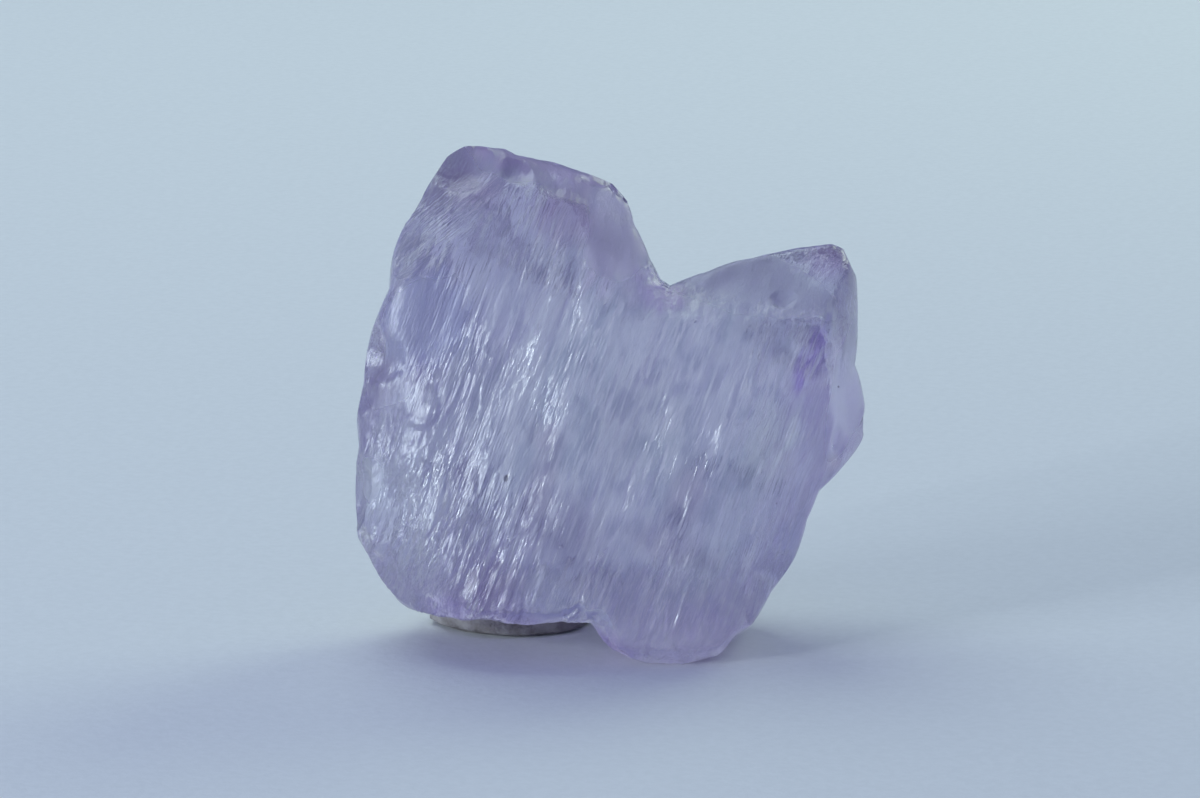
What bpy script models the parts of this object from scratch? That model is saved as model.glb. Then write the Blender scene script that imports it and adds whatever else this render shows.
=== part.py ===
"""A rough kunzite crystal, a broken piece of a striated pink spodumene prism, propped on a wad of putty.

Run with: blender --background --python part.py
Metres, +Z up. The broad front faces -Y. The origin is on the table, under the middle of the piece.

The crystal is drawn in its own frame, in millimetres from its heart: right across the broad front,
front out of that front, and up along it. The fibres lean to the right of up, and the whole piece
leans back against its putty.
"""

import math

import bmesh
import bpy
import numpy as np
from mathutils import Vector, noise
from mathutils.bvhtree import BVHTree

MM = 0.001

# How the piece stands
LEAN_BACK = math.radians(13.0)  # the broad front tips back from upright
FIBRE_LEAN = math.radians(20.0)  # the fibres tip right within the broad front
HEART = (0.28, 0.1, 11.15)  # where the heart stands: right, back and over the table, in millimetres

# Outline of the broad front, (right, up) from the heart, clockwise from the top of the tall lobe
OUTLINE = [
    (-8.2, 12.9), (-7.3, 13.4), (-5.4, 13.35), (-4.8, 13.0), (-3.8, 12.75), (-2.9, 12.6), (-1.6, 12.1),
    (0.0, 11.55), (0.8, 10.6), (1.1, 9.5), (1.9, 7.8), (2.4, 6.8), (2.9, 6.45), (4.6, 7.1), (7.0, 7.8),
    (9.6, 8.35), (10.9, 8.5), (11.5, 8.25), (12.2, 6.9), (12.3, 5.8), (12.1, 2.5), (12.65, 0.1), (12.4, -1.1),
    (11.5, -2.6), (10.3, -3.8), (9.7, -5.2), (9.1, -7.2), (8.0, -8.8), (7.0, -10.4), (6.1, -11.0), (5.3, -11.9),
    (3.4, -12.5), (1.8, -12.5), (0.0, -11.6), (-1.1, -10.3), (-1.8, -10.7), (-2.5, -10.3), (-4.4, -10.4),
    (-6.3, -10.2), (-8.2, -10.55), (-9.7, -10.1), (-10.6, -9.2), (-11.9, -7.3), (-12.6, -6.1), (-12.8, -4.0),
    (-12.6, -1.5), (-12.7, -0.1), (-12.3, 1.6), (-11.9, 4.2), (-11.0, 6.2), (-10.6, 8.4), (-9.6, 10.5),
]
HALF_THICK = 8.6  # of the rounded slab that the outline and the thickness make
SLAB_SQUARENESS = 5.0

# Broken and cleaved faces: how far each turns right of the front and tilts up, and a point that it
# passes through, as (right, front, up)
FACES = {
    "broad_left": (-7, 2, (-6.0, 5.2, 0.0)),
    "broad_right": (6, -1, (4.0, 5.2, 0.0)),
    "left_flank": (-34, -3, (-10.0, 4.3, -3.0)),
    "upper_left": (-22, 24, (-7.7, 4.6, 8.3)),
    "crown": (20, 50, (-3.6, 3.9, 11.9)),
    "heel_left": (-40, -30, (-11.0, 3.4, -8.0)),
    "right_side": (73, 2, (10.9, 4.3, 3.2)),
    "right_low": (46, -18, (9.8, 4.0, -4.8)),
    "back_broad": (176, 4, (0.0, -6.0, 0.0)),
    "back_left": (-148, -3, (-9.4, -4.3, 0.0)),
    "back_right": (138, -8, (9.4, -3.0, 0.0)),
    "back_crown": (188, 44, (-4.0, -3.6, 10.6)),
}
# Two prisms grew side by side, and their ends stop at different heights: the tall one's faces, and the
# low one's, which reaches further down
TALL_LOBE_FACES = {
    "notch_left": (42, 20, (0.4, 4.0, 8.6)),
    "notch_left_back": (130, 22, (0.9, -3.2, 8.6)),
    "tall_lip": (-4, -56, (-6.0, 5.0, -10.2)),
    "tall_under": (180, -77, (-5.0, 3.4, -10.1)),
}
LOW_LOBE_FACES = {
    "notch_right": (6, 44, (6.4, 4.8, 4.8)),
    "corner": (39, 25, (11.4, 2.2, 7.0)),
    "notch_right_back": (172, 42, (6.4, -3.0, 6.6)),
    "low_lip": (6, -52, (3.4, 4.5, -11.9)),
    "low_under": (186, -62, (3.5, 2.6, -12.3)),
    "low_shoulder": (-90, -26, (-0.75, 0.0, -10.7)),
}
EDGE_SHARPNESS = 4.5  # per millimetre: higher leaves crisper edges between the faces
FAR_AWAY = 60.0  # stands for a face that a way never meets

# Chips: scoops that a blow left, as (right, front, up) of the scooping ball's middle and its radius
CHIPS = [
    (-15.6, 3.0, -3.6, 3.7),
    (-14.2, 4.6, -9.0, 4.0),
    (-13.8, 5.6, 3.0, 3.4),
    (-6.0, 7.0, 15.4, 4.0),
    (1.4, 7.2, 11.6, 3.4),
    (-1.2, 8.6, -12.0, 3.9),
    (14.9, 2.8, -2.2, 3.1),
    (10.8, 5.8, -9.8, 4.2),
    (-3.2, -8.8, 9.6, 4.6),
    (10.4, -6.6, 5.4, 4.2),
    (-10.6, -7.6, -5.0, 4.6),
    (5.6, -9.8, -6.2, 5.2),
    (-11.4, -6.2, 6.8, 4.0),
]

# Cleavage steps along the fibres: where across the fibres, from and to along them, how high they rise to
# the right, and on which side, 1 for the front and -1 for the back
STEPS = [
    (-3.3, -9.0, 5.5, 0.30, 1),
    (-6.4, -6.0, 9.0, 0.22, 1),
    (1.2, -8.5, 2.0, -0.20, 1),
    (5.9, -6.0, 7.0, -0.26, 1),
    (-9.3, -7.0, 4.0, 0.20, 1),
    (-4.5, -8.0, 8.0, 0.36, -1),
    (2.6, -9.0, 6.0, -0.34, -1),
    (7.5, -5.0, 4.0, -0.28, -1),
]
STEP_WIDTH = 0.16
STEP_WANDER = 0.5
STEP_TAPER = 2.0  # over which a step dies out at each end
STEP_REACH = 2.2  # over which the ground beside a step comes back to the face

# Relief, each as its height and the size of its lumps across, front and along the fibres
LUMPS = [(0.30, (4.2, 4.2, 7.5)), (0.12, (1.8, 1.8, 3.6)), (0.13, (0.9, 1.0, 9.0)), (0.09, (0.5, 0.7, 6.0))]
RIM_CALM = 0.4  # share of the relief that is left at the rim, so that the outline holds
RIM_WIDTH = 0.4  # of that calm, as the share of a way that points to the front or the back

BOX = (12.6, 7.0, 13.4)  # half sizes of the box that is wrapped on the crystal: across, front, along
CELLS = (50, 16, 22)  # its cells along those sides: narrow ones across the fibres, long ones along them
CREASE = math.radians(28)  # sharper edges than this are shaded as edges
TURNS = 8  # ways round a point in which the putty looks for crystal over it

# The putty under the tall lobe: where its middle is from the heart's foot, and its size
PUTTY_MIDDLE = (-4.9, 2.0)
PUTTY_HALF = (4.1, 3.5)
PUTTY_TURN = math.radians(14)  # its long way turns back on the right
PUTTY_HEIGHT = 2.3
PUTTY_WAIST = 0.3  # height of its widest part
PUTTY_WOBBLE = 0.16  # how far its outline wanders, as a share of its half size
PUTTY_WOBBLES = 1.3  # wanders to a half size
PUTTY_RINGS = 14
PUTTY_SPOKES = 40
GAP = 0.3  # between the putty and the crystal, all over

CRYSTAL_COLOUR = (0.66, 0.60, 0.80)
PUTTY_COLOUR = (0.25, 0.23, 0.24)


def unit(turn, tilt):
    """The direction (right, front, up) that turns right of the front and tilts up, in degrees."""
    turn, tilt = math.radians(turn), math.radians(tilt)
    return np.array([math.sin(turn) * math.cos(tilt), math.cos(turn) * math.cos(tilt), math.sin(tilt)])


def reach_of_faces(way, faces):
    """How far each way goes from the heart to each plane, as a list of arrays."""
    reaches = []
    for turn, tilt, through in faces.values():
        normal = unit(turn, tilt)
        closing = np.maximum(way @ normal, 1e-6)
        reaches.append(normal @ np.array(through) / closing)
    return reaches


def soft_least(values, sharpness):
    """The least of several arrays, rounded where two are nearly equal."""
    values = np.minimum(np.array(values), FAR_AWAY)
    least = values.min(axis=0)
    return least - np.log(np.exp(-sharpness * (values - least)).sum(axis=0)) / sharpness


def reach_of_slab(way):
    """How far each way goes to the rounded slab with the outline of the broad front."""
    points = np.array(OUTLINE)
    angles = np.arctan2(points[:, 1], points[:, 0])
    radii = np.hypot(points[:, 0], points[:, 1])
    order = np.argsort(angles)
    radius = np.interp(np.arctan2(way[:, 2], way[:, 0]), angles[order], radii[order], period=2 * math.pi)
    flat = np.hypot(way[:, 0], way[:, 2]) / radius
    deep = np.abs(way[:, 1]) / HALF_THICK
    return (flat**SLAB_SQUARENESS + deep**SLAB_SQUARENESS) ** (-1 / SLAB_SQUARENESS)


def reach(way):
    """How far the plain facetted crystal reaches from its heart along each way."""
    tall = soft_least(reach_of_faces(way, TALL_LOBE_FACES), EDGE_SHARPNESS)
    low = soft_least(reach_of_faces(way, LOW_LOBE_FACES), EDGE_SHARPNESS)
    notched = -soft_least([-tall, -low], EDGE_SHARPNESS)
    return soft_least([reach_of_slab(way), notched, *reach_of_faces(way, FACES)], EDGE_SHARPNESS)


def fibre_frame(points):
    """Points (right, front, up) as (across the fibres, front, along the fibres)."""
    c, s = math.cos(FIBRE_LEAN), math.sin(FIBRE_LEAN)
    right, front, up = points.T
    return np.stack([right * c - up * s, front, right * s + up * c], axis=1)


def body_frame(points):
    """Points (across, front, along) as (right, front, up)."""
    c, s = math.cos(FIBRE_LEAN), math.sin(FIBRE_LEAN)
    across, front, along = points.T
    return np.stack([across * c + along * s, front, along * c - across * s], axis=1)


def ripple(points, size, shift=0.0):
    """Smooth noise of about plus or minus 1, whose lumps measure size, one number or three."""
    places = points / np.array(size) + shift
    return np.array([noise.noise(Vector(place)) for place in places])


def smooth_step(x):
    x = np.clip(x, 0.0, 1.0)
    return x * x * (3 - 2 * x)


def chipped(way, far):
    """Reach after every chip's ball is taken away."""
    for *middle, radius in CHIPS:
        middle = np.array(middle)
        nearest = way @ middle
        inside = nearest**2 - (middle @ middle - radius**2)
        enter = nearest - np.sqrt(np.maximum(inside, 0.0))
        far = np.where((inside > 0) & (nearest > 0), np.minimum(far, enter), far)
    return far


def relief(points, way):
    """What the lumps, fibres and cleavage steps add to the reach, in millimetres."""
    grain = fibre_frame(points)
    across, _, along = grain.T
    added = sum(height * ripple(grain, size, 10 * size[0]) for height, size in LUMPS)
    added *= RIM_CALM + (1 - RIM_CALM) * smooth_step(np.abs(way[:, 1]) / RIM_WIDTH)
    for place, start, end, height, side in STEPS:
        offset = across - place - STEP_WANDER * ripple(grain * (0, 0, 1), 3.0, place)
        rise = smooth_step(offset / STEP_WIDTH + 0.5) - 0.5
        ends = smooth_step((along - start) / STEP_TAPER) * smooth_step((end - along) / STEP_TAPER)
        facing = smooth_step(side * way[:, 1] / RIM_WIDTH)
        added += height * rise * ends * facing * np.exp(-np.abs(offset) / STEP_REACH)
    return added


def standing(points):
    """Where points (right, front, up) from the heart stand, cut off flat at the table."""
    c, s = math.cos(LEAN_BACK), math.sin(LEAN_BACK)
    right, front, up = points.T
    world = np.stack([right, up * s - front * c, up * c + front * s], axis=1) + np.array(HEART)
    world[:, 2] = np.maximum(world[:, 2], 0.0)
    return world


def gridded_box(cells):
    """A box from -1 to 1 whose sides are cut into cells."""
    mesh = bmesh.new()
    bmesh.ops.create_cube(mesh, size=2.0)
    for axis, count in enumerate(cells):
        lying = [e for e in mesh.edges if abs((e.verts[0].co - e.verts[1].co)[axis]) > 1e-6]
        bmesh.ops.subdivide_edges(mesh, edges=lying, cuts=count - 1, use_grid_fill=True)
    return mesh


def new_object(name, mesh, colour, roughness):
    data = bpy.data.meshes.new(name)
    mesh.to_mesh(data)
    mesh.free()
    data.shade_smooth()
    data.set_sharp_from_angle(angle=CREASE)
    obj = bpy.data.objects.new(name, data)
    bpy.context.scene.collection.objects.link(obj)
    material = bpy.data.materials.new(name)
    material.use_nodes = True
    shader = material.node_tree.nodes["Principled BSDF"]
    shader.inputs["Base Color"].default_value = (*colour, 1.0)
    shader.inputs["Roughness"].default_value = roughness
    data.materials.append(material)
    return obj


def make_crystal():
    mesh = gridded_box(CELLS)
    corners = np.array([v.co for v in mesh.verts]) * np.array(BOX)
    way = body_frame(corners)
    way /= np.linalg.norm(way, axis=1)[:, None]
    far = reach(way)
    far = chipped(way, far + relief(way * far[:, None], way))
    for vertex, place in zip(mesh.verts, standing(way * far[:, None])):
        vertex.co = Vector(place) * MM
    bmesh.ops.reverse_faces(mesh, faces=mesh.faces)  # front is against Y, which turned them inwards
    bmesh.ops.triangulate(mesh, faces=mesh.faces)
    return new_object("crystal", mesh, CRYSTAL_COLOUR, 0.25)


def room_over(tree, right, back):
    """How high the putty may stand there: up to the lowest crystal round about, less the gap."""
    lowest = PUTTY_HEIGHT
    for turn in range(TURNS):
        angle = turn * math.tau / TURNS
        for away in (0.0, GAP, 2 * GAP):
            under = Vector((right + away * math.cos(angle), back + away * math.sin(angle), -1.0)) * MM
            hit = tree.ray_cast(under, Vector((0, 0, 1)))[0]
            if hit:
                lowest = min(lowest, hit.z / MM - GAP)
    return lowest


def make_putty(crystal):
    """A squashed ball of putty with a flat underside, pressed flat on top by the crystal that it holds."""
    tree = BVHTree.FromObject(crystal, bpy.context.evaluated_depsgraph_get())
    mesh = bmesh.new()
    bmesh.ops.create_uvsphere(mesh, u_segments=PUTTY_SPOKES, v_segments=PUTTY_RINGS, radius=1.0)
    c, s = math.cos(PUTTY_TURN), math.sin(PUTTY_TURN)
    for vertex in mesh.verts:
        spread = 1 + PUTTY_WOBBLE * noise.noise(vertex.co * PUTTY_WOBBLES)
        along = vertex.co.x * spread * PUTTY_HALF[0]
        aside = vertex.co.y * spread * PUTTY_HALF[1]
        right = HEART[0] + PUTTY_MIDDLE[0] + along * c - aside * s
        back = HEART[1] + PUTTY_MIDDLE[1] + along * s + aside * c
        if vertex.co.z > 0:
            height = PUTTY_WAIST + (PUTTY_HEIGHT - PUTTY_WAIST) * vertex.co.z
        else:
            height = max(PUTTY_WAIST + 2 * PUTTY_WAIST * vertex.co.z, 0.0)
        vertex.co = Vector((right, back, min(height, room_over(tree, right, back)))) * MM
    bmesh.ops.triangulate(mesh, faces=mesh.faces)
    return new_object("putty", mesh, PUTTY_COLOUR, 0.8)


def main():
    for obj in list(bpy.data.objects):
        bpy.data.objects.remove(obj)
    crystal = make_crystal()
    make_putty(crystal)


if __name__ == "__main__":
    main()
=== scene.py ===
import math

import bmesh
import bpy
import numpy as np
from mathutils import Matrix, Vector, noise
from mathutils.bvhtree import BVHTree
from mathutils.kdtree import KDTree


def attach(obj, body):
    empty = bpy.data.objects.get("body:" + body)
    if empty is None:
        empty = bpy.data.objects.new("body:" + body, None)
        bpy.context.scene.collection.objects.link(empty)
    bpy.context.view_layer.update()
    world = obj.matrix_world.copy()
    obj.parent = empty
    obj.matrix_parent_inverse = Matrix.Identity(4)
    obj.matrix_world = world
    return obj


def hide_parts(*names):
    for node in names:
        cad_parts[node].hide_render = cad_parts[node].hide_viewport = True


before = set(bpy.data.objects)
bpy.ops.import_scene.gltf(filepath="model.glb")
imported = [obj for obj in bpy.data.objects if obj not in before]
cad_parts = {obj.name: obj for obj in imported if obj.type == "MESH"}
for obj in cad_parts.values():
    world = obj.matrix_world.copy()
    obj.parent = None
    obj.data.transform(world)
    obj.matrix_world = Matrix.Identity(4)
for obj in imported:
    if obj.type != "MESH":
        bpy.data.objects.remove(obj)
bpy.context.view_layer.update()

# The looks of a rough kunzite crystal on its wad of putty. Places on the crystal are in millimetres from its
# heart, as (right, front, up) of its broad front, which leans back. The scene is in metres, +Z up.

MM = 0.001

# How the piece stands: it leans back, and its fibres lean to the right, more so in a place at the upper left
LEAN_BACK = math.radians(13.0)
FIBRE_LEAN = math.radians(20.0)
SLANT_LEAN = math.radians(50.0)
HEART = (0.28, 0.1, 11.15)

# Outline of the broad front, (right, up), clockwise from the top of the tall lobe
OUTLINE = [
    (-8.2, 12.9), (-7.3, 13.4), (-5.4, 13.35), (-4.8, 13.0), (-3.8, 12.75), (-2.9, 12.6), (-1.6, 12.1),
    (0.0, 11.55), (0.8, 10.6), (1.1, 9.5), (1.9, 7.8), (2.4, 6.8), (2.9, 6.45), (4.6, 7.1), (7.0, 7.8),
    (9.6, 8.35), (10.9, 8.5), (11.5, 8.25), (12.2, 6.9), (12.3, 5.8), (12.15, 2.5), (12.8, 0.3),
    (12.65, -1.1), (11.5, -2.6), (10.3, -3.8), (9.7, -5.2), (9.1, -7.2), (8.0, -8.8), (7.0, -10.4),
    (6.1, -11.0), (5.3, -11.9), (3.4, -12.5), (1.8, -12.5), (0.0, -11.6), (-1.1, -10.3), (-1.8, -10.7),
    (-2.5, -10.3), (-4.4, -10.4), (-6.3, -10.2), (-8.2, -10.55), (-9.7, -10.1), (-10.6, -9.2),
    (-11.9, -7.3), (-12.6, -6.1), (-12.8, -4.0), (-12.6, -1.5), (-12.7, -0.1), (-12.3, 1.6), (-11.9, 4.2),
    (-11.0, 6.2), (-10.6, 8.4), (-9.6, 10.5),
]
HALF_THICK = 8.6
SLAB_SQUARENESS = 5.0

# Faces: how far each turns right of the front and tilts up, and a point that it passes through
FACES = {
    "broad_left": (-7, 2, (-6.0, 5.2, 0.0)),
    "broad_right": (6, -1, (4.0, 5.2, 0.0)),
    "left_flank": (-34, -3, (-10.0, 4.3, -3.0)),
    "upper_left": (-22, 24, (-7.7, 4.6, 8.3)),
    "crown": (20, 50, (-3.6, 3.9, 11.9)),
    "heel_left": (-40, -30, (-11.0, 3.4, -8.0)),
    "right_side": (64, 2, (10.6, 4.3, 3.2)),
    "right_low": (46, -18, (9.8, 4.0, -4.8)),
    "back_broad": (176, 4, (0.0, -6.0, 0.0)),
    "back_left": (-148, -3, (-9.4, -4.3, 0.0)),
    "back_right": (138, -8, (9.8, -3.0, 0.0)),
    "back_crown": (188, 44, (-4.0, -3.6, 10.6)),
}
TALL_LOBE_FACES = {
    "notch_left": (42, 20, (0.4, 4.0, 8.6)),
    "notch_left_back": (130, 22, (0.9, -3.2, 8.6)),
    "tall_lip": (-4, -56, (-6.0, 5.0, -10.2)),
    "tall_under": (180, -77, (-5.0, 3.4, -10.1)),
}
LOW_LOBE_FACES = {
    "notch_right": (6, 44, (6.4, 4.8, 4.8)),
    "corner": (39, 25, (11.4, 2.2, 7.0)),
    "notch_right_back": (172, 42, (6.4, -3.0, 6.6)),
    "low_lip": (6, -52, (3.4, 4.5, -11.9)),
    "low_under": (186, -62, (3.5, 2.6, -12.3)),
    "low_shoulder": (-90, -26, (-0.75, 0.0, -10.7)),
}
EDGE_SHARPNESS = 4.5
FAR_AWAY = 60.0

# Large chips: (right, front, up) of the scooping ball's middle and its radius, and the height and size of the
# ripples that make the balls uneven
CHIPS = [
    (-15.6, 3.0, -3.6, 3.7), (-14.2, 4.6, -9.0, 4.0), (-13.8, 5.6, 3.0, 3.4), (-1.2, 8.6, -12.0, 3.9),
    (10.8, 5.8, -9.8, 4.2), (-3.2, -8.8, 9.6, 4.6), (10.4, -6.6, 5.4, 4.2), (-10.6, -7.6, -5.0, 4.6),
    (5.6, -9.8, -6.2, 5.2), (-11.4, -6.2, 6.8, 4.0),
]
CHIP_RIPPLES = [(0.55, (1.6, 1.6, 2.6)), (0.165, (0.5, 0.5, 1.4))]

# Cleavage steps: where across the fibres, from and to along them, how high they rise to the right, and on
# which side, 1 for the front and -1 for the back
STEPS = [
    (-3.3, -9.0, 5.5, 0.14, 1), (-6.4, -6.0, 9.0, 0.10, 1), (1.2, -8.5, 2.0, -0.04, 1),
    (5.9, -6.0, 7.0, -0.08, 1), (-9.3, -7.0, 4.0, 0.10, 1), (-4.5, -8.0, 8.0, 0.36, -1),
    (2.6, -9.0, 6.0, -0.34, -1), (7.5, -5.0, 4.0, -0.28, -1),
]
STEP_WIDTH = 0.16
STEP_WANDER = 0.5
STEP_WANDER_LENGTH = 3.0
STEP_TAPER = 2.0
STEP_REACH = 2.2

# Relief: height and the size of its lumps across, front and along the fibres. Less of it is left at the rim.
LUMPS = [(0.30, (4.2, 4.2, 7.5)), (0.12, (1.8, 1.8, 3.6)), (0.09, (0.9, 1.0, 9.0)), (0.05, (0.5, 0.7, 6.0))]
RIM_CALM = 0.4
RIM_WIDTH = 0.4

# Splinters lie side by side along the fibres: their size, how far each is set in or out at most, and how much
# it slopes at most. The scales are short ones, in one place at the left.
SPLINTERS = [
    ((1.0, 1.6, 6.5), 0.030, (0.05, 0.04, 0.010)),
    ((0.32, 0.5, 2.4), 0.011, (0.08, 0.04, 0.010)),
]
SCALES = ((0.28, 0.4, 0.9), 0.010, (0.07, 0.04, 0.04))
SCALY_PLACE = ((-8.8, 4.2, -4.6), (3.6, 3.5, 4.4))
SLANT_PLACE = ((-8.9, 3.6, 9.4), (1.9, 4.0, 4.8))
SPLINTER_BOX = (16.0, 10.0, 17.0)
SPLINTERS_IN_BOX = 8
SPLINTER_BEND = (0.35, (1.6, 2.0, 5.0))
STRIAE = [(0.016, (0.3, 0.5, 6.0)), (0.012, (0.5, 0.5, 0.8))]

# The splinters and striae come in patches, fewer on the right, and at the rim a share of them is left
PATCH_SIZE = (3.0, 3.0, 5.0)
LEAST_IN_PATCHES = 0.45
LEAST_AT_RIM = 0.35

# Small chips along the rim: how many, how far to the front or the back, the radii of their balls, and how far
# a ball reaches in along the way from the heart to its middle. Beside an edge it bites deeper.
SMALL_CHIPS = 46
SMALL_CHIP_SPREAD = 0.45
SMALL_CHIP_RADII = (0.8, 2.6)
SMALL_CHIP_BITES = (0.03, 0.14)
SEED = 7

# Smooth places without splinters: middle (right, front, up) and half sizes along right, front and up
SMOOTH_PLACES = [
    ((0.6, 4.0, 9.0), (2.4, 4.5, 3.6)),
    ((-3.5, 3.0, 12.8), (7.0, 5.0, 2.4)),
    ((12.6, 2.0, 3.0), (1.6, 6.0, 7.0)),
    ((6.2, 2.0, 6.6), (6.2, 4.0, 2.1)),
    ((-12.2, 3.0, -3.3), (1.3, 3.0, 2.0)),
    ((-9.2, 4.5, 4.7), (2.5, 3.0, 3.2)),
    ((-11.0, 3.8, 1.7), (1.5, 3.0, 1.9)),
]
LEAST_IN_SMOOTH_PLACES = 0.15

# A shallow bowl that bends the low lobe's frosted top facet and its crease downwards
NOTCH_BOWL = (6.0, 4.2, 5.2)
NOTCH_BOWL_HALF = (4.2, 3.5, 2.6)
NOTCH_BOWL_DEPTH = 0.16

# Terraces on the front: middle (right, up), half width across and half length along the fibres, height,
# and the direction (across, along) towards which each fades out
TERRACES = [
    (-3.9, -8.3, 2.2, 2.9, 0.10, (0.5, -0.7)),
    (-9.3, 0.4, 0.85, 1.1, 0.13, (-0.8, 0.3)),
    (-9.6, -3.6, 0.7, 1.5, 0.10, (-0.2, -0.8)),
    (-4.2, 2.3, 0.8, 7.0, 0.18, (0.9, 0.0)),
    (-2.8, 4.6, 0.7, 3.6, 0.10, (0.9, 0.1)),
    (2.2, 3.9, 2.2, 2.3, -0.09, (0.6, -0.6)),
    (5.2, -3.5, 1.3, 4.6, 0.08, (0.9, 0.0)),
    (-7.2, -6.8, 1.1, 2.0, 0.11, (0.5, -0.6)),
]
TERRACE_EDGE = 0.12

# The box that is wrapped on the crystal: its half sizes across, front and along the fibres, and its cells,
# which are narrow across the fibres
BOX = (12.6, 7.0, 13.4)
CELLS = (230, 60, 100)
CREASE = math.radians(40)

# The putty under the tall lobe: where its middle is from the heart's foot, its size, how its outline wanders,
# and its gap to the crystal
PUTTY_MIDDLE = (-4.9, 2.0)
PUTTY_HALF = (4.1, 3.5)
PUTTY_TURN = math.radians(14)
PUTTY_HEIGHT = 2.3
PUTTY_WAIST = 0.3
PUTTY_WOBBLE = 0.16
PUTTY_WOBBLES = 1.3
PUTTY_LUMPS = (0.02, 6)
PUTTY_RINGS = 60
PUTTY_SPOKES = 160
PUTTY_GAP = 0.03

# The room's light and the lamps: name, place from the heart in metres, size, energy and colour
ROOM_COLOUR = (0.130, 0.151, 0.350)
LAMPS = [
    ("behind_left", (-0.14, 0.22, 0.36), 0.42, 0.80, (0.81, 1.0, 0.85)),
    ("behind_right", (0.25, 0.28, 0.20), 0.25, 0.50, (0.81, 1.0, 0.73)),
    ("side", (-0.32, -0.18, 0.06), 0.12, 0.56, (0.77, 0.90, 0.97)),
    ("spark", (-0.27, -0.23, 0.12), 0.03, 0.16, (0.85, 0.95, 1.0)),
]
FLOOR_RADIUS = 1.5

# The camera, at the photograph's angle: the heart is at HEART_PIXEL of an image of the photograph's size
CAMERA_RISE = math.radians(13.0)
CAMERA_AWAY = 0.30
SENSOR = 36.0
VIEW_WIDTH = 0.060
IMAGE = (1200, 798)
HEART_PIXEL = (612, 415)


def unit(turn, tilt):
    """The direction (right, front, up) that turns right of the front and tilts up, in degrees."""
    turn, tilt = math.radians(turn), math.radians(tilt)
    return np.array([math.sin(turn) * math.cos(tilt), math.cos(turn) * math.cos(tilt), math.sin(tilt)])


def reach_of_faces(way, faces):
    """How far each way goes from the heart to each plane, as a list of arrays."""
    reaches = []
    for turn, tilt, through in faces.values():
        normal = unit(turn, tilt)
        closing = np.maximum(way @ normal, 1e-6)
        reaches.append(normal @ np.array(through) / closing)
    return reaches


def soft_least(values, sharpness):
    """The least of several arrays, rounded where two are nearly equal."""
    values = np.minimum(np.array(values), FAR_AWAY)
    least = values.min(axis=0)
    return least - np.log(np.exp(-sharpness * (values - least)).sum(axis=0)) / sharpness


def reach_of_slab(way):
    """How far each way goes to the rounded slab with the outline of the broad front."""
    points = np.array(OUTLINE)
    angles = np.arctan2(points[:, 1], points[:, 0])
    radii = np.hypot(points[:, 0], points[:, 1])
    order = np.argsort(angles)
    radius = np.interp(np.arctan2(way[:, 2], way[:, 0]), angles[order], radii[order], period=2 * math.pi)
    flat = np.hypot(way[:, 0], way[:, 2]) / radius
    deep = np.abs(way[:, 1]) / HALF_THICK
    return (flat**SLAB_SQUARENESS + deep**SLAB_SQUARENESS) ** (-1 / SLAB_SQUARENESS)


def reach(way):
    """How far the plain facetted crystal reaches from its heart along each way."""
    tall = soft_least(reach_of_faces(way, TALL_LOBE_FACES), EDGE_SHARPNESS)
    low = soft_least(reach_of_faces(way, LOW_LOBE_FACES), EDGE_SHARPNESS)
    notched = -soft_least([-tall, -low], EDGE_SHARPNESS)
    return soft_least([reach_of_slab(way), notched, *reach_of_faces(way, FACES)], EDGE_SHARPNESS)


def fibre_frame(points, lean=FIBRE_LEAN):
    """Points (right, front, up) as (across the fibres, front, along the fibres)."""
    c, s = math.cos(lean), math.sin(lean)
    right, front, up = points.T
    return np.stack([right * c - up * s, front, right * s + up * c], axis=1)


def body_frame(points):
    """Points (across, front, along) as (right, front, up)."""
    c, s = math.cos(FIBRE_LEAN), math.sin(FIBRE_LEAN)
    across, front, along = points.T
    return np.stack([across * c + along * s, front, along * c - across * s], axis=1)


def ripple(points, size, shift=0.0):
    """Smooth noise of about plus or minus 1, whose lumps measure size, one number or three."""
    places = points / np.array(size) + shift
    return np.array([noise.noise(Vector(place)) for place in places])


def smooth_step(x):
    x = np.clip(x, 0.0, 1.0)
    return x * x * (3 - 2 * x)


def chipped(way, far, chips, uneven=0.0):
    """Reach after every chip's ball, whose radius is uneven, is taken away."""
    for *middle, size in chips:
        middle = np.array(middle)
        radius = size + uneven
        nearest = way @ middle
        inside = nearest**2 - (middle @ middle - radius**2)
        enter = nearest - np.sqrt(np.maximum(inside, 0.0))
        far = np.where((inside > 0) & (nearest > 0), np.minimum(far, enter), far)
    return far


def chip_ripples(points):
    first, second = CHIP_RIPPLES
    return first[0] * ripple(points, first[1], 6.6) + second[0] * ripple(points, second[1], 7.7)


def relief(points, way):
    """What the lumps and cleavage steps add to the reach."""
    grain = fibre_frame(points)
    across, _, along = grain.T
    added = sum(height * ripple(grain, size, 10 * size[0]) for height, size in LUMPS)
    added *= RIM_CALM + (1 - RIM_CALM) * smooth_step(np.abs(way[:, 1]) / RIM_WIDTH)
    for place, start, end, height, side in STEPS:
        offset = across - place - STEP_WANDER * ripple(grain * (0, 0, 1), STEP_WANDER_LENGTH, place)
        rise = smooth_step(offset / STEP_WIDTH + 0.5) - 0.5
        ends = smooth_step((along - start) / STEP_TAPER) * smooth_step((end - along) / STEP_TAPER)
        facing = smooth_step(side * way[:, 1] / RIM_WIDTH)
        added += height * rise * ends * facing * np.exp(-np.abs(offset) / STEP_REACH)
    return added


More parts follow.
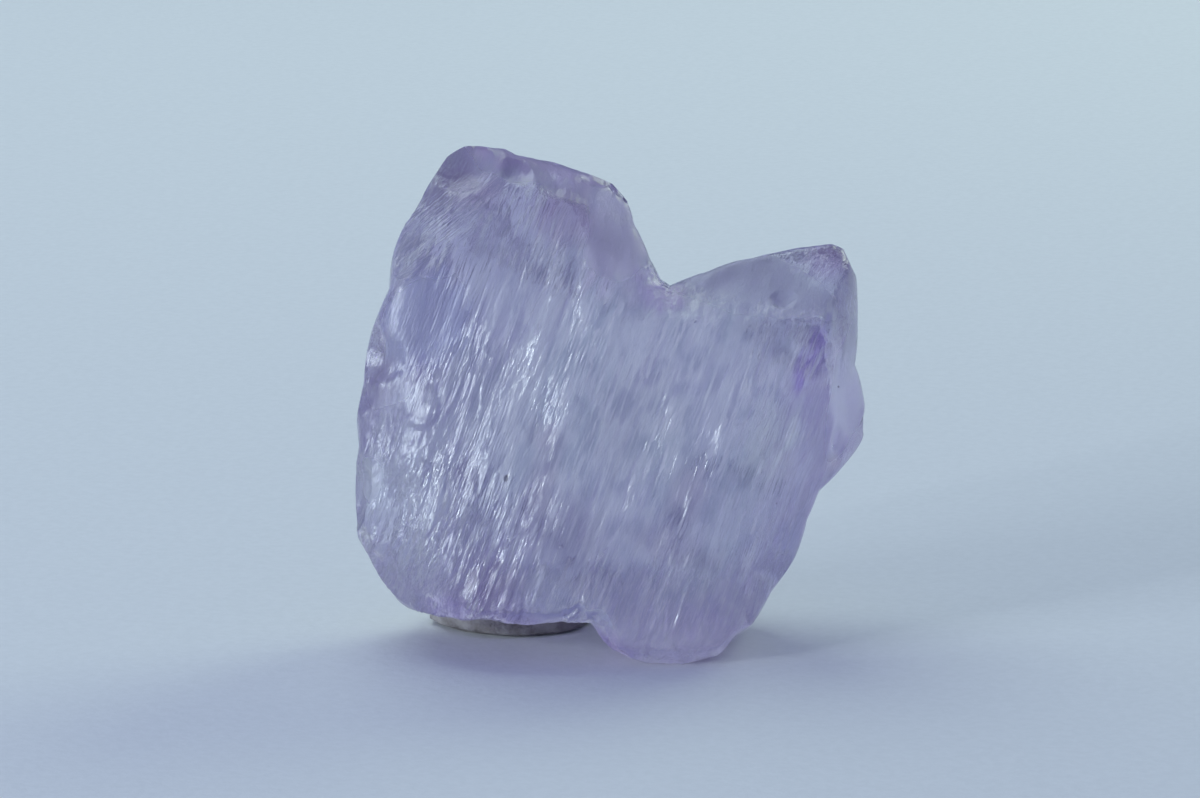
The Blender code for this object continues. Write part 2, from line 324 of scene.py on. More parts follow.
def splinters(grain, size, drop, slope, seed):
    """Height of splinters of that size, each round a seeded site of its own."""
    rng = np.random.default_rng(seed)
    size = np.array(size)
    half = np.array(SPLINTER_BOX) / size
    count = int(SPLINTERS_IN_BOX * half.prod())
    sites = rng.uniform(-half, half, (count, 3))
    offset = rng.uniform(-drop, drop, count)
    slopes = rng.uniform(-1, 1, (count, 3)) * np.array(slope) * size
    tree = KDTree(count)
    for index, site in enumerate(sites):
        tree.insert(Vector(site), index)
    tree.balance()
    bent = grain.copy()
    bend, length = SPLINTER_BEND
    bent[:, 0] += bend * ripple(grain, length, seed)
    places = bent / size
    nearest = np.array([tree.find(Vector(place))[1] for place in places])
    return offset[nearest] + ((places - sites[nearest]) * slopes[nearest]).sum(axis=1)


def terraces(points, grain):
    """Height of the raised and sunken flakes on the front."""
    ragged = 0.22 * ripple(grain, (0.5, 0.8, 1.2), 4.4) + 0.16 * ripple(grain, (1.4, 1.4, 3.0), 8.1)
    total = np.zeros(len(points))
    for right, up, wide, long, height, (fade_across, fade_along) in TERRACES:
        middle = fibre_frame(np.array([[right, 0.0, up]]))[0]
        across = (grain[:, 0] - middle[0]) / wide
        along = (grain[:, 2] - middle[2]) / long
        inside = 1.0 - np.hypot(across, along) + ragged
        edge = smooth_step(inside / TERRACE_EDGE)
        fade = smooth_step(0.6 - 0.6 * (across * fade_across + along * fade_along))
        total += height * edge * fade * smooth_step(points[:, 1])
    return total


def away_from(points, middle, half):
    """How far points are from middle, counted in half sizes."""
    return np.linalg.norm((points - np.array(middle)) / np.array(half), axis=1)


def fine_relief(points, normals):
    """Splinters, striae and flakes, which only the fine surface can show."""
    grain = fibre_frame(points)
    middle, half = SLANT_PLACE
    turned = fibre_frame(points, SLANT_LEAN)
    slanted = away_from(turned, fibre_frame(np.array([middle]), SLANT_LEAN), half) < 1.0
    grain[slanted] = turned[slanted]
    rough = sum(splinters(grain, *layer, SEED + index) for index, layer in enumerate(SPLINTERS))
    rough += sum(height * ripple(grain, size, 7 * size[0]) for height, size in STRIAE)
    rough += splinters(grain, *SCALES, SEED + 5) * smooth_step((1.0 - away_from(points, *SCALY_PLACE)) / 0.5)
    patches = smooth_step(1.2 * ripple(grain, PATCH_SIZE, 9.1) + 0.55 - points[:, 0] / 30)
    patchy = LEAST_IN_PATCHES + (1 - LEAST_IN_PATCHES) * patches
    rim = LEAST_AT_RIM + (1 - LEAST_AT_RIM) * smooth_step(np.abs(normals[:, 1]) / 0.5)
    calm = np.ones(len(points))
    for place in SMOOTH_PLACES:
        outside = smooth_step((away_from(points, *place) - 0.7) / 0.5)
        calm *= LEAST_IN_SMOOTH_PLACES + (1 - LEAST_IN_SMOOTH_PLACES) * outside
    rough -= NOTCH_BOWL_DEPTH * smooth_step(1.0 - away_from(points, NOTCH_BOWL, NOTCH_BOWL_HALF))
    return rough * patchy * rim * calm + terraces(points, grain) * rim


def small_chips():
    """Seeded small scoops along the rim, each the middle and radius of its ball."""
    rng = np.random.default_rng(SEED)
    chips = []
    for _ in range(SMALL_CHIPS):
        turn = rng.uniform(0, math.tau)
        front = rng.uniform(-SMALL_CHIP_SPREAD, SMALL_CHIP_SPREAD)
        radius = rng.uniform(*SMALL_CHIP_RADII)
        bite = rng.uniform(*SMALL_CHIP_BITES)
        way = np.array([[math.sin(turn), front, math.cos(turn)]])
        way /= np.linalg.norm(way)
        middle = way[0] * (reach(way)[0] + radius - bite)
        chips.append((*middle, radius))
    return chips


# Colours of the stone, linear
LILAC = (0.74, 0.73, 0.87)
PURPLE = (0.60, 0.52, 0.75)
ROSY = (0.76, 0.61, 0.89)
VIOLET = (0.47, 0.34, 0.82)
BLUISH = (0.69, 0.72, 0.94)
PINKISH = (0.99, 0.92, 1.0)
GREY = (0.68, 0.75, 0.79)
FROSTED = (0.70, 0.70, 0.83)
SILK = (0.98, 1.0, 1.0)
CLEAR = (0.93, 0.97, 1.0)
YELLOWISH = (0.80, 0.80, 0.70)
SMOKY = (0.50, 0.54, 0.64)
# DARK paints the pit's shade and the tiny dots
DARK = (0.04, 0.03, 0.06)

# The grey zone: its middle (right, front, up), half sizes across, front and along the fibres, and soft edge
GREY_MIDDLE = ((2.0, 2.0, 0.0), (13.5, 40.0, 13.0))
GREY_MIDDLE_EDGE = 0.65

# Marks under the silk: middle and half sizes as above, colour, share of it, and how much of the half size is
# the soft edge
DEEP_MARKS = [
    ("purple crown", (-3.0, 2.0, 13.0), (7.5, 7.0, 2.0), ROSY, 1.0, 0.6),
    ("smooth slope", (0.3, 4.0, 9.0), (2.5, 5.0, 4.4), PINKISH, 1.0, 0.5),
    ("notch bottom", (2.4, 3.5, 6.1), (1.9, 4.0, 1.5), ROSY, 0.9, 0.6),
    ("blue zone", (-9.2, 4.5, 4.6), (2.5, 4.0, 3.3), BLUISH, 0.9, 0.35),
    ("violet edge", (9.9, 4.5, 3.0), (0.8, 2.6, 2.3), VIOLET, 0.9, 0.5),
    ("right band", (12.2, 1.5, 2.6), (1.3, 7.0, 6.0), CLEAR, 1.0, 0.3),
    ("corner tip", (11.4, 1.5, 7.9), (1.5, 3.0, 0.9), PURPLE, 0.75, 0.5),
    ("low rim", (5.0, 3.0, -12.0), (6.5, 6.0, 3.4), PINKISH, 0.6, 0.6),
    ("right low", (8.2, 4.0, -3.2), (1.9, 4.0, 3.4), CLEAR, 0.9, 0.7),
    ("left rim", (-11.8, 3.0, -7.6), (1.3, 5.0, 3.8), PURPLE, 0.5, 0.7),
    ("bottom rim", (-5.0, 3.0, -10.4), (6.5, 5.0, 1.1), PURPLE, 0.55, 0.7),
    ("notch facet", (6.6, 2.5, 6.7), (4.6, 4.0, 2.1), FROSTED, 0.8, 0.3),
    ("left silk", (-9.4, 3.8, -3.2), (3.6, 4.5, 5.6), CLEAR, 1.0, 0.8),
]

# Marks over the silk, in the same terms
MARKS = [
    ("vein", (-4.2, 5.3, 2.2), (0.9, 2.2, 7.0), SILK, 0.85, 0.6),
    ("low vein", (-5.1, 5.3, -2.4), (0.4, 1.6, 3.2), SILK, 0.7, 0.7),
    ("cloud", (0.9, 5.2, 3.9), (1.7, 2.2, 1.8), SILK, 0.7, 0.7),
    ("flake", (-9.2, 4.6, 0.6), (0.95, 1.6, 1.0), SILK, 0.3, 0.3),
    ("scallop", (-11.9, 2.5, -3.3), (1.0, 3.0, 1.9), CLEAR, 0.8, 0.3),
    ("scales", (-10.2, 4.0, -3.6), (0.35, 1.2, 1.0), SILK, 0.6, 0.5),
    # White silk painted where a glint shows: partly silk, partly a painted highlight
    ("lower silk and painted glint", (-6.9, 5.2, -8.3), (0.4, 1.2, 0.8), SILK, 0.55, 0.5),
    ("yellowish spot", (10.8, 3.0, -2.3), (0.7, 2.2, 0.6), YELLOWISH, 0.6, 0.7),
    ("smoky spot", (4.3, 5.2, -2.1), (0.6, 1.6, 1.0), SMOKY, 0.5, 0.8),
]

# Soft tints over everything, two of them painted shade on the bottom rim above the putty: middle and half
# sizes as above, and the colour to multiply by
TINTS_AND_PAINTED_SHADE = [
    ((-2.6, 5.0, -5.6), (3.4, 3.0, 2.8), (0.73, 0.69, 0.76)),
    ((-3.4, 5.0, -3.0), (1.1, 3.0, 3.2), (0.84, 0.79, 0.84)),
    ((-6.2, 5.0, -8.2), (2.8, 3.0, 2.1), (0.80, 0.74, 0.84)),
    ((-3.4, 5.0, -1.0), (1.4, 3.0, 1.2), (0.86, 0.82, 0.86)),
    ((3.6, 5.0, -4.0), (1.4, 2.5, 2.8), (0.80, 0.75, 0.79)),
    ((2.8, 5.0, -6.4), (3.3, 3.0, 1.3), (0.85, 0.81, 0.86)),
    # Painted shade: darkens the bottom rim above the putty
    ((-4.8, 3.5, -9.9), (5.5, 4.0, 1.6), (0.86, 0.76, 0.92)),
    ((-8.2, 4.0, -9.6), (1.8, 4.0, 1.1), (0.87, 0.80, 1.00)),
    # Painted shade: darkens the bottom rim above the putty
    ((-0.6, 3.5, -11.6), (2.8, 5.0, 1.6), (0.84, 0.70, 0.96)),
    ((-2.4, 5.0, 9.9), (2.0, 3.0, 2.4), (0.82, 0.70, 0.80)),
    ((-7.2, 3.5, 11.3), (2.6, 4.0, 1.4), (0.92, 0.84, 0.90)),
    ((10.7, 1.5, 7.7), (1.6, 4.0, 1.5), (0.84, 0.70, 0.90)),
    ((-11.6, 3.5, 1.8), (1.3, 3.0, 2.4), (0.86, 0.83, 0.86)),
    ((-9.5, 4.5, 2.1), (1.8, 3.0, 1.3), (0.83, 0.79, 0.86)),
    ((-6.3, 5.0, 1.8), (1.6, 3.0, 2.8), (0.82, 0.80, 0.85)),
    ((7.8, 4.0, -1.8), (1.8, 4.0, 3.4), (0.96, 1.00, 0.90)),
    ((1.2, 5.0, -0.4), (3.6, 3.0, 3.8), (0.92, 0.92, 0.91)),
    ((9.6, 4.5, 2.6), (0.9, 3.0, 2.6), (0.90, 0.89, 0.92)),
    ((-7.0, 5.0, -2.8), (1.2, 3.0, 1.2), (0.86, 0.83, 0.87)),
    ((3.8, 3.5, 5.8), (1.4, 3.0, 1.0), (0.86, 0.84, 0.86)),
    ((7.0, 4.5, 4.2), (1.4, 3.0, 0.9), (0.86, 0.84, 0.87)),
    ((8.6, 4.0, -6.4), (1.2, 3.0, 1.6), (1.12, 1.16, 1.14)),
    ((10.5, 3.5, 4.3), (0.9, 3.0, 1.4), (1.12, 1.16, 1.12)),
]

# The pit, painted as a dark spot of shade with no hollow in the mesh, and two tiny dark dots: middle and half
# sizes
DOTS = [
    ((-5.2, 5.3, -3.1), (0.15, 1.2, 0.24)),
    ((8.1, 5.0, -4.35), (0.08, 1.0, 0.08)),
    ((11.2, 2.5, 1.4), (0.08, 2.0, 0.08)),
]

# Where the flakes lean to the left, towards the light: middle and half sizes, and how steeply
LEANING_PLACES = [
    ((-4.5, 5.3, 1.4), (1.0, 2.5, 6.0), 0.5),
    ((8.95, 4.6, -0.9), (0.4, 1.5, 1.2), 1.2),
    ((0.8, 5.3, -4.15), (0.35, 1.2, 0.8), 1.2),
    ((-9.4, 4.6, -1.95), (0.25, 1.2, 0.7), 1.2),
    ((-6.9, 5.3, -8.2), (0.5, 1.2, 0.8), 1.2),
    ((-9.1, 4.6, 0.9), (0.4, 1.2, 0.9), 0.5),
]

# Where silk streaks are rich and where they are few: middle and half sizes as above, and the added share
SILKY_PLACES = [
    ((-8.5, 4.5, -4.6), (3.6, 3.0, 3.6), 0.5),
    ((-3.0, 5.0, 3.0), (2.6, 3.0, 7.5), 0.35),
    ((6.0, 5.0, 0.5), (4.5, 3.0, 5.0), 0.3),
    ((1.0, 5.0, 1.0), (4.0, 3.0, 6.0), 0.2),
    ((-9.0, 4.0, 9.4), (2.4, 4.0, 4.2), 0.5),
]
PLAIN_PLACES = [
    ((0.6, 4.0, 9.0), (2.2, 5.0, 3.8), 1.0),
    ((-2.8, 2.5, 12.7), (7.0, 5.0, 2.4), 1.0),
    ((12.4, 1.5, 3.0), (1.5, 7.0, 7.0), 0.9),
    ((6.8, 2.0, 6.9), (5.6, 4.5, 1.9), 0.9),
    ((-9.2, 4.5, 4.6), (2.5, 3.0, 3.2), 0.8),
    ((-12.2, 3.0, -3.3), (1.2, 3.0, 1.9), 0.8),
    ((-11.0, 3.8, 1.7), (1.5, 3.0, 1.9), 0.8),
]

# Roughness added where the stone is frosted, and on its whole back
FROSTED_PLACE = ((6.0, 2.5, 6.7), (5.9, 4.0, 2.1))
FROST_ROUGHNESS = 0.25
BACK_ROUGHNESS = 0.28


def egg(points, middle, half, soft, ragged=0.0, lean=FIBRE_LEAN):
    """1 inside an egg of those half sizes round middle, 0 outside, with a soft and uneven edge."""
    places = fibre_frame(points, lean) - fibre_frame(np.array([middle]), lean)
    away = np.linalg.norm(places / np.array(half), axis=1) + ragged
    return smooth_step((1.0 - away) / soft)


def blend(share, first, second):
    """From first at a share of 0 to second at 1, for each point."""
    return first + (np.array(second) - first) * share[:, None]


def paint(points):
    """Soft zones of colour, silk and roughness at those places, by the names that the material reads."""
    grain = fibre_frame(points)
    ragged = 0.5 * ripple(grain, (0.5, 0.8, 1.6), 2.3)

    # Body colour: grey white in the middle, lilac towards the rims, in soft zones
    middle_share = egg(points, *GREY_MIDDLE, GREY_MIDDLE_EDGE, 0.3 * ragged)
    body = blend(middle_share, np.array(LILAC), GREY)
    body = blend(0.4 * smooth_step((ripple(grain, (2.6, 3.5, 5.5), 1.7) + 0.3) / 0.66), body, PURPLE)
    mottle = ripple(grain, (0.9, 1.1, 1.5), 4.1) + 0.6 * ripple(grain, (0.4, 0.5, 0.7), 5.2)
    body = blend(0.6 * middle_share * smooth_step((mottle + 0.16) / 0.4), body, SILK)
    body = blend(0.6 * middle_share * smooth_step((-0.12 - mottle) / 0.4), body, SMOKY)
    for _, middle, half, tint, share, soft in DEEP_MARKS:
        body = blend(share * egg(points, middle, half, soft, 0.6 * ragged), body, tint)

    # What lies over the silk, as the share of the silk that stays and the colour that is added
    gain = np.ones((len(points), 3))
    added = np.zeros((len(points), 3))
    for _, middle, half, tint, share, soft in MARKS:
        mask = share * egg(points, middle, half, soft, 0.7 * ragged)
        gain = blend(mask, gain, (0.0, 0.0, 0.0))
        added = blend(mask, added, tint)
    for middle, half, tint in TINTS_AND_PAINTED_SHADE:
        dimming = blend(egg(points, middle, half, 0.7), np.ones((len(points), 3)), tint)
        gain *= dimming
        added *= dimming

    # Silk, how far its flakes lean, and the added roughness
    silk = 0.3 + 0.5 * smooth_step((ripple(grain, (1.8, 2.5, 4.0), 3.3) + 0.3) / 0.7)
    for middle, half, share in SILKY_PLACES:
        silk += share * egg(points, middle, half, 0.7, ragged)
    for middle, half, share in PLAIN_PLACES:
        silk *= 1.0 - share * egg(points, middle, half, 0.45)
    lean = sum(share * egg(points, middle, half, 0.6, 0.7 * ragged) for middle, half, share in LEANING_PLACES)
    rough = FROST_ROUGHNESS * egg(points, *FROSTED_PLACE, 0.3)
    rough += BACK_ROUGHNESS * smooth_step((-points[:, 1] - 1.0) / 3.0)
    slanted = egg(points, *SLANT_PLACE, 0.15, 0.3 * ragged, SLANT_LEAN)
    return {
        "body": body, "gain": gain, "added": added,
        "finish": np.stack([silk, lean, rough], axis=1),
        "slanted": slanted[:, None] * np.ones(3),
    }


def standing(points):
    """Where points (right, front, up) from the heart stand, cut off flat at the table."""
    c, s = math.cos(LEAN_BACK), math.sin(LEAN_BACK)
    right, front, up = points.T
    world = np.stack([right, up * s - front * c, up * c + front * s], axis=1) + np.array(HEART)
    world[:, 2] = np.maximum(world[:, 2], 0.0)
    return world


def gridded_box(cells):
    """A box from -1 to 1 whose sides are cut into cells."""
    mesh = bmesh.new()
    bmesh.ops.create_cube(mesh, size=2.0)
    for axis, count in enumerate(cells):
        lying = [e for e in mesh.edges if abs((e.verts[0].co - e.verts[1].co)[axis]) > 1e-6]
        bmesh.ops.subdivide_edges(mesh, edges=lying, cuts=count - 1, use_grid_fill=True)
    return mesh


def new_object(name, mesh):
    data = bpy.data.meshes.new(name)
    mesh.to_mesh(data)
    mesh.free()
    data.shade_smooth()
    obj = bpy.data.objects.new(name, data)
    bpy.context.scene.collection.objects.link(obj)
    return obj


def make_crystal():
    mesh = gridded_box(CELLS)
    corners = np.array([v.co for v in mesh.verts]) * np.array(BOX)
    way = body_frame(corners)
    way /= np.linalg.norm(way, axis=1)[:, None]
    far = reach(way)
    far = far + relief(way * far[:, None], way)
    far = chipped(way, far, CHIPS, chip_ripples(way * far[:, None]))
    far = chipped(way, far, small_chips())
    points = way * far[:, None]
    for vertex, place in zip(mesh.verts, points):
        vertex.co = Vector(place)
    mesh.normal_update()
    normals = np.array([v.normal for v in mesh.verts])
    points += normals * fine_relief(points, normals)[:, None]
    for vertex, place in zip(mesh.verts, standing(points)):
        vertex.co = Vector(place) * MM
    bmesh.ops.reverse_faces(mesh, faces=mesh.faces)
    crystal = new_object("kunzite", mesh)
    for name, values in paint(points).items():
        layer = crystal.data.attributes.new(name, "FLOAT_VECTOR", "POINT")
        layer.data.foreach_set("vector", values.astype(np.float32).ravel())
    crystal.data.set_sharp_from_angle(angle=CREASE)
    return crystal


def make_putty(crystal):
    """A squashed ball of putty with a flat underside, pressed flat on top by the crystal that it holds."""
    tree = BVHTree.FromObject(crystal, bpy.context.evaluated_depsgraph_get())
    mesh = bmesh.new()
    bmesh.ops.create_uvsphere(mesh, u_segments=PUTTY_SPOKES, v_segments=PUTTY_RINGS, radius=1.0)
    c, s = math.cos(PUTTY_TURN), math.sin(PUTTY_TURN)
    lump, lumps = PUTTY_LUMPS
    for vertex in mesh.verts:
        spread = 1 + PUTTY_WOBBLE * noise.noise(vertex.co * PUTTY_WOBBLES)
        spread += lump * noise.noise(vertex.co * lumps)
        along = vertex.co.x * spread * PUTTY_HALF[0]
        aside = vertex.co.y * spread * PUTTY_HALF[1]
        right = HEART[0] + PUTTY_MIDDLE[0] + along * c - aside * s
        back = HEART[1] + PUTTY_MIDDLE[1] + along * s + aside * c
        if vertex.co.z > 0:
            height = PUTTY_WAIST + (PUTTY_HEIGHT - PUTTY_WAIST) * vertex.co.z
        else:
            height = max(PUTTY_WAIST + 2 * PUTTY_WAIST * vertex.co.z, 0.0)
        hit = tree.ray_cast(Vector((right, back, -1.0)) * MM, Vector((0, 0, 1)))[0]
        if hit:
            height = min(height, hit.z / MM - PUTTY_GAP)
        vertex.co = Vector((right, back, height)) * MM
    return new_object("putty_wad", mesh)


# The kunzite as see-through stone, and its roughness without silk and with it
TRANSMISSION = 0.78
IOR = 1.66
ABSORPTION = (0.74, 0.46, 0.88)
ABSORPTION_DENSITY = 25.0
PLAIN_ROUGHNESS = 0.34
SILK_ROUGHNESS = 0.17

# Silk: sizes across, front and along the fibres of what bends it, of its streaks and of its flakes
BEND_SIZE = (1.2, 1.4, 3.0)
WIDE_STREAKS = (0.32, 0.7, 4.0)
FINE_STREAKS = (0.10, 0.2, 1.9)
SLANTED_STREAKS = (0.10, 0.2, 1.6)
FLAKES = (0.13, 0.2, 0.9)

# From where to where in the noise bright streaks, crisp lines and painted glints come in, and darker streaks
# go out
STREAK_BAND = (0.50, 0.58)
SHADE_BAND = (0.36, 0.46)
CRISP_BAND = (0.585, 0.625)
PAINTED_GLINT_BAND = (0.85, 0.9)

# Height of the fibres in millimetres, with the shares of wide streaks and flakes in it, and how strong it is
FIBRE_BUMP = 0.085
WIDE_BUMP_SHARE = 0.6
FLAKE_BUMP_SHARE = 1.1
FIBRE_BUMP_STRENGTH = 0.8

PUTTY_COLOURS = ((0.22, 0.195, 0.19, 1.0), (0.42, 0.39, 0.38, 1.0))
PUTTY_GRIT = 0.2
PAPER_COLOURS = ((0.775, 0.785, 0.80, 1.0), (0.805, 0.815, 0.83, 1.0))
PAPER_GRAIN = 0.05
WHITE = (1.0, 1.0, 1.0, 1.0)


class Sheet:
    """A material's node tree, with short calls for the nodes that the looks are made of."""

    def __init__(self, name):
        self.material = bpy.data.materials.new(name)
        self.material.use_nodes = True
        self.tree = self.material.node_tree
        self.shader = self.tree.nodes["Principled BSDF"]
        self.output = self.tree.nodes["Material Output"]
        self.place = self.tree.nodes.new("ShaderNodeTexCoord").outputs["Object"]

    def node(self, kind, **settings):
        made = self.tree.nodes.new(kind)
        for name, value in settings.items():
            setattr(made, name, value)
        return made

    def feed(self, socket, value):
        if isinstance(value, bpy.types.NodeSocket):
            self.tree.links.new(value, socket)
        else:
            socket.default_value = value

    def math(self, operation, *values, clamp=False):
        made = self.node("ShaderNodeMath", operation=operation, use_clamp=clamp)
        for socket, value in zip(made.inputs, values):
            self.feed(socket, value)
        return made.outputs[0]

    def vector(self, operation, *values):
        made = self.node("ShaderNodeVectorMath", operation=operation)
        for socket, value in zip(made.inputs, values):
            self.feed(socket, value)
        return made.outputs["Value" if operation in ("LENGTH", "DOT_PRODUCT") else "Vector"]

    def band(self, value, low, high, to_low=0.0, to_high=1.0):
        """value from low to high, as to_low to to_high, with soft ends."""
        made = self.node("ShaderNodeMapRange", interpolation_type="SMOOTHSTEP")
        for socket, given in zip(made.inputs, (value, low, high, to_low, to_high)):
            self.feed(socket, given)
        return made.outputs[0]

    def mix(self, share, first, second):
        made = self.node("ShaderNodeMix", data_type="RGBA")
        self.feed(made.inputs["Factor"], share)
        self.feed(made.inputs[6], first)
        self.feed(made.inputs[7], second)
        return made.outputs[2]

    def grain(self, size, middle=(0.0, 0.0, 0.0), lean=FIBRE_LEAN):
        """Places in the fibres' frame, counted from middle in units of size, both in millimetres."""
        turn = Matrix.Rotation(-LEAN_BACK, 4, "X") @ Matrix.Rotation(lean, 4, "Y")
        made = self.node("ShaderNodeMapping", vector_type="TEXTURE")
        self.feed(made.inputs["Vector"], self.place)
        made.inputs["Location"].default_value = Vector(standing(np.array([middle]))[0]) * MM
        made.inputs["Rotation"].default_value = turn.to_euler()
        made.inputs["Scale"].default_value = Vector(size) * MM
        return made.outputs[0]

    def noise(self, vector, detail, roughness):
        made = self.node("ShaderNodeTexNoise")
        self.feed(made.inputs["Vector"], vector)
        made.inputs["Scale"].default_value = 1.0
        made.inputs["Detail"].default_value = detail
        made.inputs["Roughness"].default_value = roughness
        return made.outputs["Fac"]

    def zone(self, name):
        """What paint stored in the mesh under that name."""
        return self.node("ShaderNodeAttribute", attribute_name=name).outputs["Vector"]

    def parts(self, vector):
        made = self.node("ShaderNodeSeparateXYZ")
        self.feed(made.inputs[0], vector)
        return made.outputs

    def flakes(self, size, bend):
        """Small flakes that each tilt their own way: height, ramp to the right, and a number for each."""
        place = self.vector("ADD", self.grain(size), bend)
        cells = self.node("ShaderNodeTexVoronoi")
        cells.inputs["Scale"].default_value = 1.0
        self.feed(cells.inputs["Vector"], place)
        away = self.vector("SUBTRACT", place, cells.outputs["Position"])
        slope = self.vector("SUBTRACT", cells.outputs["Color"], (0.5, 0.5, 0.5))
        kind = self.parts(cells.outputs["Color"])["Z"]
        return self.vector("DOT_PRODUCT", away, slope), self.parts(away)["X"], kind

    def bump(self, height, distance, strength):
        made = self.node("ShaderNodeBump")
        made.inputs["Strength"].default_value = strength
        made.inputs["Distance"].default_value = distance * MM
        self.feed(made.inputs["Height"], height)
        return made.outputs[0]


def crystal_material():
    m = Sheet("kunzite")
    bend_noise = m.node("ShaderNodeTexNoise")
    m.feed(bend_noise.inputs["Vector"], m.grain(BEND_SIZE))
    bend_noise.inputs["Scale"].default_value = 1.0
    bend_noise.inputs["Detail"].default_value = 0.0
    bend = m.vector("SUBTRACT", bend_noise.outputs["Color"], (0.5, 0.5, 0.5))
    silk, lean, rough = m.parts(m.zone("finish"))

    # Silk: streaks along the fibres, rich in some places and few in others
    wide = m.noise(m.vector("ADD", m.grain(WIDE_STREAKS, (2.0, 0.0, 1.0)), bend), 1.0, 0.55)
    places = m.node("ShaderNodeMix", data_type="VECTOR")
    m.feed(places.inputs["Factor"], m.math("GREATER_THAN", m.parts(m.zone("slanted"))[0], 0.5))
    m.feed(places.inputs[4], m.grain(FINE_STREAKS, (3.0, 0.0, 0.0)))
    m.feed(places.inputs[5], m.grain(SLANTED_STREAKS, (3.0, 0.0, 0.0), SLANT_LEAN))
    fine = m.noise(m.vector("ADD", places.outputs[1], bend), 2.0, 0.6)
    bright = m.math("ADD", m.math("MULTIPLY", wide, 0.45), m.math("MULTIPLY", fine, 0.55))
    streaks = m.math("MULTIPLY", m.band(bright, *STREAK_BAND), silk)
    colour = m.mix(m.math("MULTIPLY", streaks, 0.95, clamp=True), m.zone("body"), (*SILK, 1.0))
    shade = m.band(bright, *SHADE_BAND, 0.5, 0.0)
    colour = m.mix(m.math("MULTIPLY", shade, silk, clamp=True), colour, (*PURPLE, 1.0))
    crisp = m.math("MULTIPLY", m.band(fine, *CRISP_BAND, 0.0, 0.8), silk, clamp=True)
    colour = m.mix(crisp, colour, WHITE)
    colour = m.vector("MULTIPLY_ADD", colour, m.zone("gain"), m.zone("added"))

    # The pit, painted dark as shade, the dots, and glints painted white into the colour as painted highlights
    for middle, half in DOTS:
        away = m.vector("LENGTH", m.grain(half, middle))
        colour = m.mix(m.band(away, 0.5, 1.0, 0.85, 0.0), colour, (*DARK, 1.0))
    # Painted highlights: flakes of one kind on the silk are painted white as glints
    height, ramp, kind = m.flakes(FLAKES, bend)
    painted_glint = m.math("MULTIPLY", m.band(kind, *PAINTED_GLINT_BAND), m.band(silk, 0.4, 1.0))
    colour = m.mix(painted_glint, colour, WHITE)
    m.feed(m.shader.inputs["Base Color"], colour)

    # Clear stone under the silk, and the fibres' fine relief
    m.shader.inputs["IOR"].default_value = IOR
    m.shader.inputs["Transmission Weight"].default_value = TRANSMISSION
    smoothness = m.band(silk, 0.0, 0.6, PLAIN_ROUGHNESS, SILK_ROUGHNESS)
    m.feed(m.shader.inputs["Roughness"], m.math("ADD", smoothness, rough))
    flaky = m.math("MULTIPLY_ADD", height, FLAKE_BUMP_SHARE, fine)
    fibres = m.math("MULTIPLY_ADD", wide, WIDE_BUMP_SHARE, flaky)
    fibres = m.math("MULTIPLY", fibres, m.math("MULTIPLY_ADD", silk, 0.75, 0.25))
    fibres = m.math("MULTIPLY_ADD", lean, ramp, fibres)
    m.feed(m.shader.inputs["Normal"], m.bump(fibres, FIBRE_BUMP, FIBRE_BUMP_STRENGTH))
    absorb = m.node("ShaderNodeVolumeAbsorption")
    absorb.inputs["Color"].default_value = (*ABSORPTION, 1.0)
    absorb.inputs["Density"].default_value = ABSORPTION_DENSITY
    m.tree.links.new(absorb.outputs[0], m.output.inputs["Volume"])
    return m.material


def putty_material():
    m = Sheet("putty")
    blotch = m.noise(m.grain((1.2, 1.2, 1.2)), 4.0, 0.6)
    m.feed(m.shader.inputs["Base Color"], m.mix(m.band(blotch, 0.35, 0.65), *PUTTY_COLOURS))
    m.shader.inputs["Roughness"].default_value = 0.85
    grit = m.noise(m.grain((0.25, 0.25, 0.25)), 5.0, 0.65)
    m.feed(m.shader.inputs["Normal"], m.bump(grit, PUTTY_GRIT, 0.7))
    return m.material


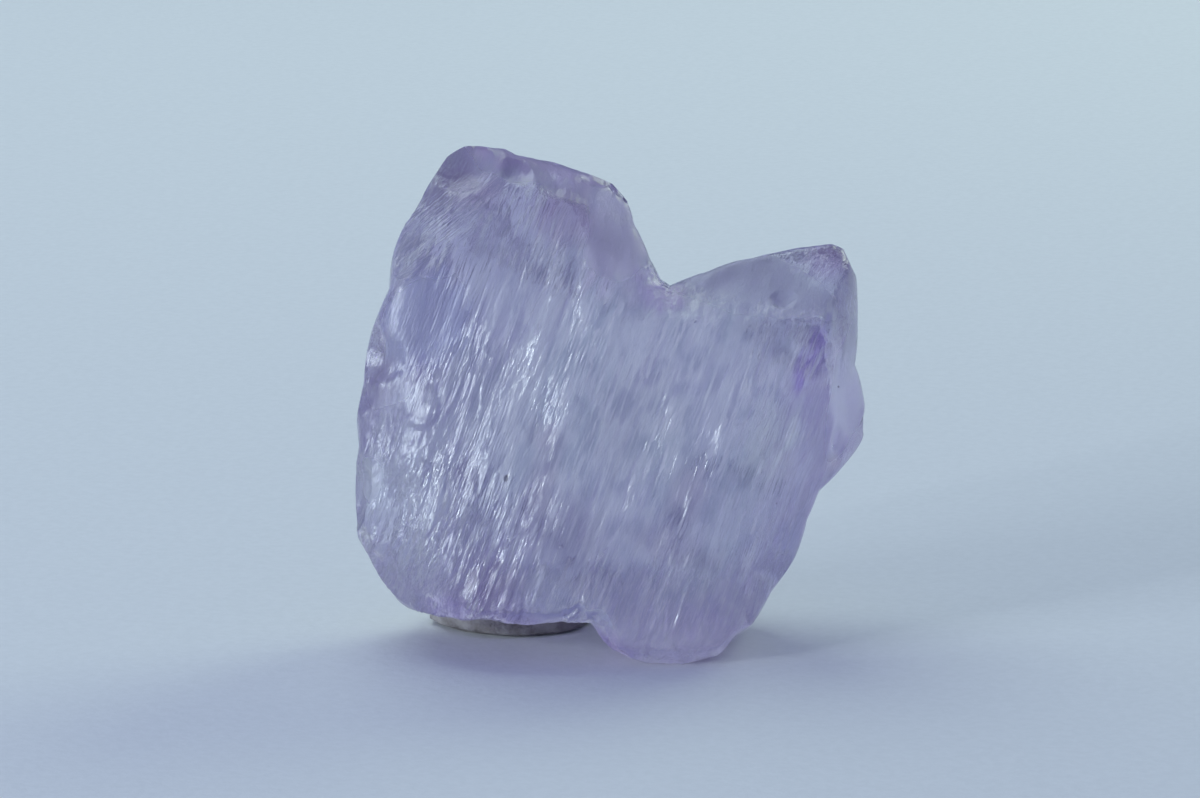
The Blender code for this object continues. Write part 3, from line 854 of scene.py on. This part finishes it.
def floor_material():
    m = Sheet("paper")
    paper = m.noise(m.grain((0.5, 0.5, 0.5)), 4.0, 0.6)
    m.feed(m.shader.inputs["Base Color"], m.mix(m.band(paper, 0.3, 0.7), *PAPER_COLOURS))
    m.shader.inputs["Roughness"].default_value = 0.9
    m.feed(m.shader.inputs["Normal"], m.bump(paper, PAPER_GRAIN, 0.4))
    return m.material


def make_floor():
    mesh = bmesh.new()
    bmesh.ops.create_circle(mesh, cap_ends=True, segments=96, radius=FLOOR_RADIUS)
    floor = new_object("floor", mesh)
    floor.data.materials.append(floor_material())


def make_camera():
    data = bpy.data.cameras.new("camera")
    data.sensor_width = SENSOR
    data.lens = SENSOR * CAMERA_AWAY / VIEW_WIDTH
    data.shift_x = (IMAGE[0] / 2 - HEART_PIXEL[0]) / IMAGE[0]
    data.shift_y = (HEART_PIXEL[1] - IMAGE[1] / 2) / IMAGE[0]
    data.clip_start = 0.01
    camera = bpy.data.objects.new("camera", data)
    bpy.context.scene.collection.objects.link(camera)
    toward = Vector((0, math.cos(CAMERA_RISE), -math.sin(CAMERA_RISE)))
    camera.location = Vector(HEART) * MM - toward * CAMERA_AWAY
    camera.rotation_euler = toward.to_track_quat("-Z", "Y").to_euler()
    bpy.context.scene.camera = camera


def make_light(name, place, size, energy, colour):
    """A round lamp of that size in metres, at place from the heart, and turned to it."""
    data = bpy.data.lights.new(name, "AREA")
    data.shape = "DISK"
    data.size = size
    data.energy = energy
    data.color = colour
    light = bpy.data.objects.new(name, data)
    bpy.context.scene.collection.objects.link(light)
    light.location = Vector(HEART) * MM + Vector(place)
    light.rotation_euler = (-Vector(place)).to_track_quat("-Z", "Y").to_euler()


def make_lights():
    world = bpy.data.worlds.new("room")
    bpy.context.scene.world = world
    world.use_nodes = True
    background = world.node_tree.nodes["Background"]
    background.inputs["Color"].default_value = (*ROOM_COLOUR, 1.0)
    for lamp in LAMPS:
        make_light(*lamp)


bpy.context.scene.view_settings.view_transform = "Standard"
crystal = make_crystal()
crystal.data.materials.append(crystal_material())
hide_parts("crystal")
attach(crystal, "root")
putty = make_putty(crystal)
putty.data.materials.append(putty_material())
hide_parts("putty")
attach(putty, "root")
make_floor()
make_camera()
make_lights()
